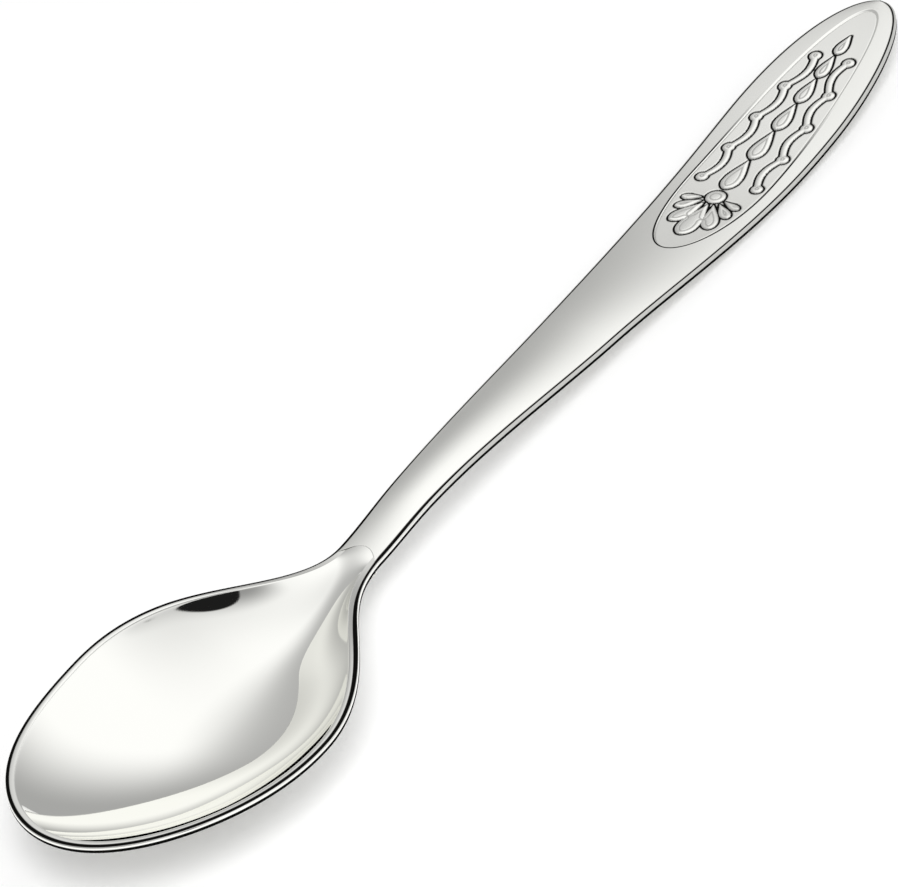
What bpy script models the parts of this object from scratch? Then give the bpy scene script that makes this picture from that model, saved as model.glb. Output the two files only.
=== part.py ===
"""Dessert spoon in three pieces: bowl, handle and ornament panel.

The bowl is a thin shell that ends at the neck in a round-ended tongue. The handle carries that tongue on a
half lap and runs on under the bowl as a heel. The panel is a struck plate let into a bed in the grip.

Units are metres, +Z is up. Stations run along the spoon from the bowl's tip (0) to the handle's tip, and the
spoon lies as it does on a table, touching it with the bowl's floor and the grip's underside.
"""
import bmesh
import bpy
import numpy as np

MM = 0.001

# Bowl
BOWL_LENGTH = 60.5 * MM          # tip to the start of the neck
BOWL_WIDTH = 36.8 * MM
BOWL_WIDEST = 27.5 * MM          # station of the widest place
BOWL_DEPTH = 7.4 * MM            # hollow below the rim at the deepest place
BOWL_FLOOR = 1.2 * MM            # wall at the deepest place
BOWL_ROUNDNESS = 0.6             # 0 gives a paraboloid, 1 half an ellipsoid with upright walls
RIM_WIDTH = 1.1 * MM             # flat band round the hollow
SHOULDER_FULLNESS = 1.11         # how long the outline stays wide on its way to the neck
FLOOR_FULLNESS = 1.8             # how long the bowl stays deep on its way to the neck
TIP_RISE = 1.8 * MM              # rim at the tip above the rim at the widest place
SHOULDER_LENGTH = 13.0 * MM      # widest place to the rim's high place behind it
SHOULDER_RISE = 0.6 * MM         # rim there above the rim at the widest place

# Handle
NECK_WIDTH = 6.1 * MM
DIP_HEIGHT = 5.60 * MM           # top edge above the table where the bowl runs into the neck
NECK_HEIGHT = 6.2 * MM           # top edge of the neck above the table
NECK_LENGTH = 11.0 * MM          # bowl's end to the neck's high place
HANDLE_LENGTH = 119.5 * MM       # start of the neck to the handle's tip
MIDDLE_WIDTH = 10.5 * MM         # half way between the neck and the widest place of the grip
MIDDLE_HEIGHT = 3.95 * MM
GRIP_WIDTH = 16.15 * MM
GRIP_END = 25.0 * MM             # widest place of the grip to the tip
REST_FROM_TIP = 38.0 * MM        # where the grip touches the table, from the tip
END_RISE = 2.2 * MM              # top edge at the tip above the top edge over the resting place
CROWN_ABOVE = 0.46 * MM          # how far the handle's top swells between its edges
GRIP_CROWN = 0.32 * MM           # the same at the panel's foot
TIP_CROWN = 0.15 * MM            # and at the flat end of the grip
GRIP_BELLY = 0.95 * MM           # how far the underside swells below the edges
TIP_BELLY = 0.5 * MM

# Edges and the marks of use
EDGE = 0.95 * MM                 # height of the edge all round the spoon
EDGE_ROUND = 0.22 * MM           # easing of that edge
WEAR = 0.12 * MM                 # worn off where the spoon rests on the table

# Lap joint at the neck
SEAM = 0.15 * MM                 # solder gap between two pieces
TONGUE_ROUND = 2.6 * MM          # how far the tongue's round end stands past its corners
TONGUE_SETBACK = 1.65 * MM       # those corners in front of the neck's start
SHOULDER_SLANT = 0.3 * MM        # lean of the handle's shoulder behind the tongue
HEEL_LENGTH = 14.0 * MM          # heel under the bowl, forward from the tongue's corners
HEEL_INSET = 0.2 * MM            # heel inside the neck's edges
HEEL_LIP = 0.3 * MM              # edge of the heel
HEEL_HEIGHT = 0.85 * MM          # swell of the heel below its lip

# Ornament panel
PANEL_LENGTH = 50.2 * MM
PANEL_WIDTH = 10.8 * MM
PANEL_FROM_TIP = 2.6 * MM        # head of the panel to the handle's tip
PANEL_WIDEST = 15.8 * MM         # foot of the panel to its widest place
PANEL_PLATE = 0.45 * MM          # plate below the field
FIELD_SINK = 0.2 * MM            # field below the top of the grip
RELIEF = 0.14 * MM               # ornament above the field

# Ornament on the panel: a fan of drops at the foot, a chain of drops, beads and swags along both sides
HUB_FROM_FOOT = 11.8 * MM        # hub of the fan to the panel's foot
HUB_RADIUS = 1.25 * MM
FAN_DROPS = 7
FAN_STEP = np.radians(24.0)
FAN_LENGTH = 8.6 * MM            # hub's middle to the far end of the longest drop
FAN_WIDTH = 8.4 * MM
FAN_START = 1.8 * MM             # hub's middle to the near ends of the drops
DROP_SLENDERNESS = 0.4           # width of a drop by its length
DROP_FULLNESS = 0.6              # below 1 moves the thick place towards the round end
CHAIN_DROPS = 6
FIRST_DROP = 1.9 * MM            # hub's middle to the chain
CHAIN_LENGTH = 6.0 * MM          # first drop of the chain
CHAIN_SHRINK = 0.91              # each drop against the drop before it
CHAIN_GAP = 0.5 * MM
SWAGS = 4
FIRST_BEAD = 3.2 * MM            # hub's middle to the first pair of beads
SWAG_LENGTH = 6.3 * MM
SWAG_SAG = 1.0 * MM
SWAG_WIDTH = 0.8 * MM
SWAG_HEIGHT = 0.7                # swags by the height of the beads
BEAD_RADIUS = 0.75 * MM
BORDER = 1.35 * MM               # middles of the beads to the panel's edge

# Mesh density
BOWL_ROWS = 44
HOLLOW_COLUMNS = 21
HANDLE_ROWS = 44
HEEL_ROWS = 12
HANDLE_COLUMNS = 13
PANEL_ROWS = 110
PANEL_COLUMNS = 27
FINE = 600                       # points on the dense outline that insets are read from
TINY = 1e-7                      # keeps a division off zero, and merges points that are one
SHARP = np.radians(30.0)         # edges sharper than this stay crisp in shading

# Stations and heights that follow from the sizes above
LENGTH = BOWL_LENGTH + HANDLE_LENGTH
GRIP_WIDEST = LENGTH - GRIP_END
REST = LENGTH - REST_FROM_TIP
NECK_END = BOWL_LENGTH + NECK_LENGTH
MIDDLE = (BOWL_LENGTH + GRIP_WIDEST) / 2
RIM_HEIGHT = BOWL_DEPTH + BOWL_FLOOR - WEAR
OUTER_DEPTH = RIM_HEIGHT - EDGE + WEAR
REST_HEIGHT = EDGE + GRIP_BELLY - WEAR
PANEL_HEAD = LENGTH - PANEL_FROM_TIP
PANEL_FOOT = PANEL_HEAD - PANEL_LENGTH
HUB = PANEL_FOOT + HUB_FROM_FOOT
TONGUE_CORNER = BOWL_LENGTH - TONGUE_SETBACK
HEEL_END = TONGUE_CORNER - HEEL_LENGTH
HEEL_HALF = NECK_WIDTH / 2 - HEEL_INSET


def through(stations, values, s):
    """Cubic curve through the stations, level at both ends, with each slope taken from its neighbours."""
    stations = np.array(stations)
    values = np.array(values)
    slopes = np.gradient(values, stations)
    slopes[0] = 0.0
    slopes[-1] = 0.0
    s = np.clip(s, stations[0], stations[-1])
    k = np.clip(np.searchsorted(stations, s, side="right") - 1, 0, len(stations) - 2)
    span = stations[k + 1] - stations[k]
    u = (s - stations[k]) / span
    rise = 3 * u**2 - 2 * u**3
    leave = (u**3 - 2 * u**2 + u) * span * slopes[k]
    arrive = (u**3 - u**2) * span * slopes[k + 1]
    return values[k] * (1 - rise) + values[k + 1] * rise + leave + arrive


def half_width(s):
    """Outline: half an ellipse at the tip, a swept shoulder, a taper and half an ellipse at the end."""
    tip = BOWL_WIDTH / 2 * np.sqrt(np.clip(1 - (1 - s / BOWL_WIDEST) ** 2, 0, 1))
    way = np.clip((s - BOWL_WIDEST) / (BOWL_LENGTH - BOWL_WIDEST), 0, 1) ** SHOULDER_FULLNESS
    shoulder = NECK_WIDTH / 2 + (BOWL_WIDTH - NECK_WIDTH) / 4 * (1 + np.cos(np.pi * way))
    taper = through((BOWL_LENGTH, MIDDLE, GRIP_WIDEST), (NECK_WIDTH / 2, MIDDLE_WIDTH / 2, GRIP_WIDTH / 2), s)
    end = GRIP_WIDTH / 2 * np.sqrt(np.clip(1 - ((s - GRIP_WIDEST) / GRIP_END) ** 2, 0, 1))
    choices = [s < BOWL_WIDEST, s < BOWL_LENGTH, s < GRIP_WIDEST]
    return np.select(choices, [tip, shoulder, taper], end)


def edge_height(s):
    """Height of the top edge: a rim that lifts at the tip, a low neck, and a grip with a lifted end."""
    high = BOWL_WIDEST + SHOULDER_LENGTH
    stations = (0.0, BOWL_WIDEST, high, TONGUE_CORNER, NECK_END, MIDDLE, REST, LENGTH)
    heights = (RIM_HEIGHT + TIP_RISE, RIM_HEIGHT, RIM_HEIGHT + SHOULDER_RISE, DIP_HEIGHT, NECK_HEIGHT,
               MIDDLE_HEIGHT, REST_HEIGHT, REST_HEIGHT + END_RISE)
    return through(stations, heights, s)


def round_spacing(first, last, count):
    """Stations that crowd towards both ends, as steps of a half circle do."""
    return first + (last - first) * (1 - np.cos(np.linspace(0, np.pi, count))) / 2


def inset(s, width, distance):
    """Move an outline's points inwards along its normals, and its tips along the middle line."""
    along = np.gradient(s)
    out = np.gradient(width)
    along = np.where(width <= 0, 0.0, along)
    size = np.hypot(along, out)
    return s + distance * out / size, np.maximum(width - distance * along / size, 0.0)


FINE_S = round_spacing(0.0, LENGTH, FINE)
FINE_W = half_width(FINE_S)


def inset_half_width(s, distance):
    """Half-width of the inset outline, read from the dense outline by its square, to stay round."""
    stations, widths = inset(FINE_S, FINE_W, distance)
    return np.sqrt(np.interp(s, stations, widths**2, left=0.0, right=0.0))


def crown(s):
    """Swell of the handle's top: none in the bowl, most behind the neck, little on the grip."""
    stations = (BOWL_LENGTH - NECK_LENGTH, NECK_END, MIDDLE, PANEL_FOOT, LENGTH)
    return through(stations, (0.0, CROWN_ABOVE, CROWN_ABOVE, GRIP_CROWN, TIP_CROWN), s)


def over(y, half):
    """1 on the middle line and 0 at the half-width, as a parabola."""
    return np.clip(1 - (y / np.maximum(half, TINY)) ** 2, 0, 1)


def floor_share(s, half, widest):
    """Depth of the bowl's middle line: by the outline's square at the tip, by a wave of its own behind it."""
    way = np.clip((s - BOWL_WIDEST) / (BOWL_LENGTH - BOWL_WIDEST), 0, 1) ** FLOOR_FULLNESS
    return np.where(s < BOWL_WIDEST, (half / widest) ** 2, (1 + np.cos(np.pi * way)) / 2)


def dish(s, y, half, widest):
    """Share of the bowl's depth: 0 at the outline, 1 at the deepest place, as a cap of an ellipsoid."""
    inside = over(y, half) * floor_share(s, half, widest)
    level = np.sqrt(1 - BOWL_ROUNDNESS)
    return (np.sqrt(1 - BOWL_ROUNDNESS * (1 - inside)) - level) / (1 - level)


def hollow_height(s, y):
    """Inside of the bowl, which rises behind the bowl into the crown of the neck."""
    half = inset_half_width(s, RIM_WIDTH)
    depth = BOWL_DEPTH * dish(s, y, half, BOWL_WIDTH / 2 - RIM_WIDTH)
    return edge_height(s) + crown(s) * over(y, half) - depth


def back_height(s, y):
    """Back of the bowl: the same rule on the outer outline, worn flat where it rests on the table."""
    half = inset_half_width(s, EDGE_ROUND)
    depth = OUTER_DEPTH * dish(s, y, half, BOWL_WIDTH / 2 - EDGE_ROUND)
    return np.maximum(edge_height(s) - EDGE - depth, 0.0)


def heel_half_width(s):
    """Plan of the heel: round at its end, then parallel up to the shoulder."""
    way = np.clip((s - HEEL_END) / HEEL_LENGTH, 0, 1)
    return HEEL_HALF * np.sqrt(1 - (1 - way) ** 2)


def belly(s):
    """Swell of the handle's underside, which carries the heel's underside on behind the shoulder."""
    lap = OUTER_DEPTH * dish(TONGUE_CORNER, 0.0, NECK_WIDTH / 2, BOWL_WIDTH / 2) + SEAM + HEEL_LIP
    stations = (TONGUE_CORNER, MIDDLE, REST, LENGTH)
    return through(stations, (lap + HEEL_HEIGHT, GRIP_BELLY, GRIP_BELLY, TIP_BELLY), s)


def top_height(s, y):
    """Top of the handle."""
    return edge_height(s) + crown(s) * over(y, inset_half_width(s, EDGE_ROUND))


def under_height(s, y):
    """Underside of the handle, worn flat where it rests on the table."""
    low = edge_height(s) - EDGE - belly(s) * over(y, inset_half_width(s, EDGE_ROUND))
    return np.maximum(low, 0.0)


def tongue_sweep(s, y, half, share):
    """Push a row's middle towards the handle, as a parabola between its sides, by a share of the tongue's."""
    return s + TONGUE_ROUND * share * (1 - (y / np.maximum(half, TINY)) ** 2)


def lap_share(s):
    """How much of the tongue's sweep a row has: none at the heel's end, all at the tongue's corners."""
    return np.clip((s - HEEL_END) / HEEL_LENGTH, 0, 1)


def tube(name, rings, end_faces=()):
    """Mesh from rings of equal length. A ring that shrinks to a line closes by merging its points.

    The last ring can have end faces, given by places in the ring.
    """
    count = rings.shape[1]
    rows = len(rings)
    faces = []
    for i in range(rows - 1):
        for j in range(count):
            k = (j + 1) % count
            faces.append((i * count + j, i * count + k, (i + 1) * count + k, (i + 1) * count + j))
    for face in end_faces:
        faces.append(tuple((rows - 1) * count + j for j in face))
    mesh = bpy.data.meshes.new(name)
    mesh.from_pydata(rings.reshape(-1, 3).tolist(), [], faces)
    return mesh


def finish_mesh(mesh):
    """Merge the doubled points at the tips, split into triangles and point the faces outwards."""
    bm = bmesh.new()
    bm.from_mesh(mesh)
    bmesh.ops.remove_doubles(bm, verts=bm.verts, dist=TINY)
    bmesh.ops.dissolve_degenerate(bm, edges=bm.edges, dist=TINY)
    bmesh.ops.triangulate(bm, faces=bm.faces)
    bmesh.ops.recalc_face_normals(bm, faces=bm.faces)
    bm.to_mesh(mesh)
    bm.free()


def polished_metal(name, colour, roughness):
    """Principled metal of the part's own colour and polish."""
    material = bpy.data.materials.new(name)
    material.use_nodes = True
    shader = material.node_tree.nodes["Principled BSDF"]
    shader.inputs["Base Color"].default_value = (*colour, 1.0)
    shader.inputs["Metallic"].default_value = 1.0
    shader.inputs["Roughness"].default_value = roughness
    return material


def add_piece(name, mesh, material, parent):
    """Named object for one piece, laid in the spoon's stations."""
    mesh.materials.append(material)
    mesh.shade_smooth()
    mesh.set_sharp_from_angle(angle=SHARP)
    piece = bpy.data.objects.new(name, mesh)
    bpy.context.scene.collection.objects.link(piece)
    piece.parent = parent
    return piece


def ring_points(parts):
    """Join (s, y, z) arrays of shape rows by columns into closed rings."""
    return np.concatenate([np.stack(np.broadcast_arrays(*part), axis=-1) for part in parts], axis=1)


def edge_points(s, half, top, bottom, ease, side):
    """The two points on one side face, eased at the top and at the bottom."""
    y = side * half[:, None]
    upper = (s[:, None], y, (top - ease)[:, None])
    lower = (s[:, None], y, (bottom + ease)[:, None])
    return (upper, lower) if side > 0 else (lower, upper)


def tongue_end_faces(count):
    """Faces across the tongue's end: a strip between the top row and the back, and one face at each side."""
    top = [count - 1, *range(HOLLOW_COLUMNS + 1)]
    right_side = HOLLOW_COLUMNS + 1
    left_side = count - 3
    back = list(range(left_side - 1, right_side + 1, -1))
    strip = [(top[k], top[k + 1], back[k + 1], back[k]) for k in range(len(top) - 1)]
    right = (top[-1], right_side, right_side + 1, back[-1])
    left = (back[0], left_side, left_side + 1, top[0])
    return [*strip, right, left]


def make_bowl():
    """Shell with its hollow, flat rim band, eased edge and back, from the tip to the tongue's end."""
    s = round_spacing(0.0, TONGUE_CORNER, BOWL_ROWS)
    half = half_width(s)
    last = len(s) - 1

    def span(distance, columns, lean):
        """Rows across the piece inside the inset outline, swept into the tongue, short of the shoulder."""
        row_s, row_half = inset(s, half, distance)
        row_s[last] = s[last]
        grid_y = row_half[:, None] * np.linspace(-1, 1, columns)[None, :]
        grid_s = tongue_sweep(row_s[:, None], grid_y, half[:, None], lap_share(row_s)[:, None])
        grid_s[last] += lean - SEAM
        return grid_s, grid_y

    hollow_s, hollow_y = span(RIM_WIDTH, HOLLOW_COLUMNS, SHOULDER_SLANT)
    rim_s, rim_y = span(EDGE_ROUND, 2, SHOULDER_SLANT)
    back_s, back_y = span(EDGE_ROUND, HOLLOW_COLUMNS + 2, 0.0)
    side_s = s.copy()
    side_s[last] -= SEAM
    rim = edge_height(side_s)
    right = edge_points(side_s, half, rim, rim - EDGE, EDGE_ROUND, 1)
    left = edge_points(side_s, half, rim, rim - EDGE, EDGE_ROUND, -1)
    rings = ring_points([
        (hollow_s, hollow_y, hollow_height(hollow_s, hollow_y)),
        (rim_s[:, 1:], rim_y[:, 1:], edge_height(rim_s[:, 1:])),
        *right,
        (back_s[:, ::-1], back_y[:, ::-1], back_height(back_s, back_y)[:, ::-1]),
        *left,
        (rim_s[:, :1], rim_y[:, :1], edge_height(rim_s[:, :1])),
    ])
    mesh = tube("bowl", rings, tongue_end_faces(rings.shape[1]))
    finish_mesh(mesh)
    return mesh


def make_handle():
    """Heel and lap under the bowl's tongue, the shoulder behind it, then the full handle to the tip."""
    v = np.linspace(-1, 1, HANDLE_COLUMNS)[None, :]

    heel_s = HEEL_END + HEEL_LENGTH * (1 - np.cos(np.linspace(0, np.pi / 2, HEEL_ROWS)))
    heel_half = heel_half_width(heel_s)
    grid_y = heel_half[:, None] * v
    grid_s = tongue_sweep(heel_s[:, None], grid_y, half_width(TONGUE_CORNER), lap_share(heel_s)[:, None])
    lap_top = back_height(grid_s, grid_y) - SEAM
    lens = HEEL_HEIGHT * (heel_half / HEEL_HALF)[:, None] * (1 - v**2)
    lap_under = lap_top - HEEL_LIP - lens
    ease = HEEL_LIP / 3
    heel = ring_points([
        (grid_s, grid_y, lap_top),
        *edge_points(heel_s, heel_half, lap_top[:, -1], lap_under[:, -1], ease, 1),
        (grid_s[:, ::-1], grid_y[:, ::-1], lap_under[:, ::-1]),
        *edge_points(heel_s, heel_half, lap_top[:, 0], lap_under[:, 0], ease, -1),
    ])

    shoulder = TONGUE_CORNER + SHOULDER_SLANT
    full_s = shoulder + (LENGTH - shoulder) * np.sin(np.linspace(0, np.pi / 2, HANDLE_ROWS))
    full_half = half_width(full_s)
    row_s, row_half = inset(full_s, full_half, EDGE_ROUND)
    row_s[0] = full_s[0]
    fade = np.clip(1 - (full_s - shoulder) / HEEL_LENGTH, 0, 1)[:, None]
    grid_y = row_half[:, None] * v
    grid_s = tongue_sweep(row_s[:, None], grid_y, full_half[:, None], fade)
    rim = edge_height(full_s)
    full = ring_points([
        (grid_s, grid_y, top_height(grid_s, grid_y)),
        *edge_points(full_s, full_half, rim, rim - EDGE, EDGE_ROUND, 1),
        (grid_s[:, ::-1], grid_y[:, ::-1], under_height(grid_s, grid_y)[:, ::-1]),
        *edge_points(full_s, full_half, rim, rim - EDGE, EDGE_ROUND, -1),
    ])
    mesh = tube("handle", np.concatenate([heel, full]))
    finish_mesh(mesh)
    return mesh


def panel_half_width(s, clearance):
    """Plan of the panel, grown by a clearance: half an ellipse to each side of its widest place."""
    widest = PANEL_FOOT + PANEL_WIDEST
    reach = np.where(s < widest, PANEL_WIDEST, PANEL_LENGTH - PANEL_WIDEST) + clearance
    return (PANEL_WIDTH / 2 + clearance) * np.sqrt(np.clip(1 - ((s - widest) / reach) ** 2, 0, 1))


def panel_rows(clearance):
    """Stations and half-widths of the panel's plan."""
    s = round_spacing(PANEL_FOOT - clearance, PANEL_HEAD + clearance, PANEL_ROWS)
    return s, panel_half_width(s, clearance)


def field_height(s):
    """Level of the panel's field, straight across the grip."""
    return edge_height(s) + crown(s) - FIELD_SINK


def bump(distance, reach):
    """Rounded swell that is 1 in the middle and 0 at its reach."""
    return np.sqrt(np.clip(1 - (distance / reach) ** 2, 0, 1))


def drop(along, across, length):
    """Drop from its round end on: its half-width follows a sine along its length."""
    way = np.clip(along / length, 0, 1) ** DROP_FULLNESS
    half = DROP_SLENDERNESS * length / 2 * np.sin(np.pi * way)
    return np.where(half > TINY, bump(across, np.maximum(half, TINY)), 0.0)


def drop_fan(s, y):
    """Hub with drops that point at it and fan out towards the panel's foot, as far as an ellipse."""
    ahead = HUB - s
    heights = bump(np.hypot(ahead, y), HUB_RADIUS)
    for k in range(FAN_DROPS):
        turn = FAN_STEP * (k - (FAN_DROPS - 1) / 2)
        reach = 1 / np.hypot(np.cos(turn) / FAN_LENGTH, np.sin(turn) / (FAN_WIDTH / 2))
        along = ahead * np.cos(turn) + y * np.sin(turn)
        across = y * np.cos(turn) - ahead * np.sin(turn)
        heights = np.maximum(heights, drop(reach - along, across, reach - FAN_START))
    return heights


def drop_chain(s, y):
    """Drops on the middle line from the hub to the panel's head, each shorter than the one before it."""
    heights = np.zeros_like(s)
    start = HUB + FIRST_DROP
    for k in range(CHAIN_DROPS):
        length = CHAIN_LENGTH * CHAIN_SHRINK**k
        heights = np.maximum(heights, drop(s - start, y, length))
        start += length + CHAIN_GAP
    return heights


def swag_border(s, y):
    """Beads that follow the panel's sides, with a swag sagging towards the middle between each two."""
    first = HUB + FIRST_BEAD
    way = (s - first) / SWAG_LENGTH
    sag = SWAG_SAG * np.abs(np.sin(np.pi * way))
    line = panel_half_width(s, 0.0) - BORDER - sag
    swag = np.where((way > 0) & (way < SWAGS), SWAG_HEIGHT * bump(np.abs(y) - line, SWAG_WIDTH / 2), 0.0)
    nearest = first + SWAG_LENGTH * np.clip(np.round(way), 0, SWAGS)
    aside = np.abs(y) - (panel_half_width(nearest, 0.0) - BORDER)
    return np.maximum(swag, bump(np.hypot(s - nearest, aside), BEAD_RADIUS))


def ornament(s, y):
    """Height of the ornament, from 0 on the field to 1."""
    return np.max([drop_fan(s, y), drop_chain(s, y), swag_border(s, y)], axis=0)


def make_panel():
    """Plate with a level back, a sunk field and the ornament raised from it."""
    s, half = panel_rows(0.0)
    v = np.linspace(-1, 1, PANEL_COLUMNS)[None, :]
    grid_s = np.repeat(s[:, None], PANEL_COLUMNS, axis=1)
    grid_y = half[:, None] * v
    top = field_height(grid_s) + RELIEF * ornament(grid_s, grid_y)
    back = field_height(s) - PANEL_PLATE
    rings = ring_points([
        (grid_s, grid_y, top),
        (s[:, None], half[:, None], back[:, None]),
        (s[:, None], -half[:, None], back[:, None]),
    ])
    mesh = tube("ornament_panel", rings)
    finish_mesh(mesh)
    return mesh


def make_bed_cutter():
    """The panel's bed: the panel's plan and plate, each with the seam round it, open upwards."""
    s, half = panel_rows(SEAM)
    floor = (field_height(s) - PANEL_PLATE - SEAM)[:, None]
    roof = floor + PANEL_PLATE + FIELD_SINK + RELIEF + EDGE
    left = -half[:, None]
    right = half[:, None]
    rings = ring_points([(s[:, None], left, roof), (s[:, None], right, roof),
                         (s[:, None], right, floor), (s[:, None], left, floor)])
    mesh = tube("bed_cutter", rings)
    finish_mesh(mesh)
    return mesh


def main():
    for old in list(bpy.data.objects):
        bpy.data.objects.remove(old, do_unlink=True)

    table_line = bpy.data.objects.new("table_line", None)
    table_line.location = (-LENGTH / 2, 0.0, 0.0)
    bpy.context.scene.collection.objects.link(table_line)

    mirror = polished_metal("mirror_polish", (0.80, 0.80, 0.78), 0.05)
    satin = polished_metal("satin_polish", (0.76, 0.76, 0.74), 0.28)
    struck = polished_metal("struck_satin", (0.72, 0.72, 0.70), 0.35)

    add_piece("bowl", make_bowl(), mirror, table_line)
    handle = add_piece("handle", make_handle(), satin, table_line)
    add_piece("ornament_panel", make_panel(), struck, table_line)

    cutter = add_piece("bed_cutter", make_bed_cutter(), struck, table_line)
    cutter.hide_render = True
    cutter.display_type = "WIRE"
    bed = handle.modifiers.new("panel_bed", "BOOLEAN")
    bed.operation = "DIFFERENCE"
    bed.object = cutter


main()
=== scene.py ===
"""Looks of the dessert spoon: fine polished surfaces, patina and painted shade in the lines, studio floor,
light and camera.

Lengths are metres. Stations s run along the spoon from the bowl's tip (0) to the handle's tip, y runs across
it, and z is the height above the table, so a point lies at (s - LENGTH / 2, y, z) in the frame.
"""

import bmesh
import bpy
import numpy as np
from mathutils import Matrix, Vector


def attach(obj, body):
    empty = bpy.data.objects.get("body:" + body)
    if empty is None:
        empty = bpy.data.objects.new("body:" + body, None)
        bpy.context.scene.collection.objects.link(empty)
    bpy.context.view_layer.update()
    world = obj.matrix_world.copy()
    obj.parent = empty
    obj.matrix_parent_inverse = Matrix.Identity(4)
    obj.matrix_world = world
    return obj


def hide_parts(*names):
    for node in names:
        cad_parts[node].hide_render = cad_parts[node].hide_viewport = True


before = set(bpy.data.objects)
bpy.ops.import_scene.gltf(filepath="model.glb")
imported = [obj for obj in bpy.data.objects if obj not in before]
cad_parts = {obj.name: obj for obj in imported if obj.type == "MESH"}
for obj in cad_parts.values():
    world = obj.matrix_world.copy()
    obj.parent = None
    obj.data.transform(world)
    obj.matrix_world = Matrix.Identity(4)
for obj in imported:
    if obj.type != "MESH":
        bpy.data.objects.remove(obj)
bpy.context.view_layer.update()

MM = 0.001

# Bowl, as in the CAD
BOWL_LENGTH = 60.5 * MM
BOWL_WIDTH = 36.8 * MM
BOWL_WIDEST = 27.5 * MM
BOWL_DEPTH = 7.4 * MM
BOWL_FLOOR = 1.2 * MM
BOWL_ROUNDNESS = 0.6
RIM_WIDTH = 1.1 * MM
SHOULDER_FULLNESS = 1.11
FLOOR_FULLNESS = 1.8
TIP_RISE = 1.8 * MM
SHOULDER_LENGTH = 13.0 * MM
SHOULDER_RISE = 0.6 * MM

# Handle, as in the CAD
NECK_WIDTH = 6.1 * MM
DIP_HEIGHT = 5.60 * MM
NECK_HEIGHT = 6.2 * MM
NECK_LENGTH = 11.0 * MM
HANDLE_LENGTH = 119.5 * MM
MIDDLE_WIDTH = 10.5 * MM
MIDDLE_HEIGHT = 3.95 * MM
GRIP_WIDTH = 16.15 * MM
GRIP_END = 25.0 * MM
REST_FROM_TIP = 38.0 * MM
END_RISE = 2.2 * MM
CROWN_ABOVE = 0.46 * MM
GRIP_CROWN = 0.32 * MM
TIP_CROWN = 0.15 * MM
GRIP_BELLY = 0.95 * MM
TIP_BELLY = 0.5 * MM
EDGE = 0.95 * MM
WEAR = 0.12 * MM
TONGUE_ROUND = 2.6 * MM
TONGUE_SETBACK = 1.65 * MM
HEEL_LENGTH = 14.0 * MM
HEEL_INSET = 0.2 * MM
HEEL_LIP = 0.3 * MM
HEEL_HEIGHT = 0.85 * MM
SEAM = 0.15 * MM

# Ornament panel, as in the CAD
PANEL_LENGTH = 50.2 * MM
PANEL_WIDTH = 10.8 * MM
PANEL_FROM_TIP = 2.6 * MM
PANEL_WIDEST = 15.8 * MM
PANEL_PLATE = 0.45 * MM
FIELD_SINK = 0.2 * MM
RELIEF = 0.14 * MM
HUB_FROM_FOOT = 11.8 * MM
HUB_RADIUS = 1.25 * MM
FAN_DROPS = 7
FAN_STEP = np.radians(24.0)
FAN_LENGTH = 8.6 * MM
FAN_WIDTH = 8.4 * MM
FAN_START = 1.8 * MM
DROP_SLENDERNESS = 0.4
DROP_FULLNESS = 0.6
CHAIN_DROPS = 6
FIRST_DROP = 1.9 * MM
CHAIN_LENGTH = 6.0 * MM
CHAIN_SHRINK = 0.91
CHAIN_GAP = 0.5 * MM
SWAGS = 4
FIRST_BEAD = 3.2 * MM
SWAG_LENGTH = 6.3 * MM
SWAG_SAG = 1.0 * MM
SWAG_WIDTH = 0.8 * MM
SWAG_HEIGHT = 0.7
BEAD_RADIUS = 0.75 * MM
BORDER = 1.35 * MM

# Finish of the edges and lines, finer than the CAD; the dark lines along the edges and in the rim's corner
# are painted shade
EDGE_ROUND = 0.26 * MM           # rounding of the edge all round the spoon
EDGE_BAND = 0.44 * MM            # strip inside that rounding that gets closer columns
EDGE_LINE = 0.24 * MM            # width of the painted dark reflection line in that strip on the bowl
EDGE_LINE_WIDEST = 0.36 * MM     # its width in the middle of the bowl's shoulder
EDGE_LINE_NECK = 0.24 * MM       # its width at the neck
EDGE_LINE_HANDLE = 0.17 * MM       # its width on the handle
EDGE_FADE = 0.08 * MM            # strip over which it fades out inwards
EDGE_TURN = np.radians(36.0)     # how far it goes round the bowl's edge from the top
EDGE_TURN_HANDLE = np.radians(2.0)   # how far it goes round the handle's edge
EDGE_TURN_FADE = np.radians(14.0)  # turn over which it fades out there
EDGE_SIDE_SHADE = 0.4                  # painted shade on the side of the handle's edge
EDGE_UNDER = 0.37 * MM           # how far below the top the lower painted dark line starts
EDGE_UNDER_FADE = 0.05 * MM      # height over which it fades in
EDGE_LINE_TAPER = 22.0 * MM            # length behind the neck over which the upper painted line thins
RIM_EASE = 0.014                 # softness of the corner between rim band and hollow, in shares of the dish
RIM_LINE = 0.07 * MM             # half the width of the painted shade line in that corner
RIM_LINE_DARK = 0.8              # its painted shade at the shoulder
RIM_LINE_MIDDLE = 0.45           # its painted shade beside the bowl's widest place
RIM_ZONE = 0.2 * MM              # strip of the hollow along the rim that gets closer columns
SOLDER_LINE = 0.02 * MM          # what shows of the seam between two pieces
SEAM_EASE = 0.015 * MM           # rounding down into that seam at the neck
SEAM_RUN = 0.15 * MM             # strip along the seam that is rounded and tarnished
SEAM_DARK = 0.45                 # tarnish in the line along that seam on the neck
RIM_SWELL = 0.035 * MM           # crown of the rim band
LIP_AT_FOOT = 0.42 * MM          # width of the slope into the panel at its foot
LIP_AT_HEAD = 0.7 * MM           # and at its head, where the panel runs out softly
LIP_LEVEL = 0.6                  # share of that width that stays level with the grip, where its line shows
LIP_FADE = 0.2                   # share over which that line fades out to each side
FOOT_LINE = 20.0 * MM            # length of the dark line round the panel's foot
FOOT_FADE = 14.0 * MM            # and the length over which it fades out
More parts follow.
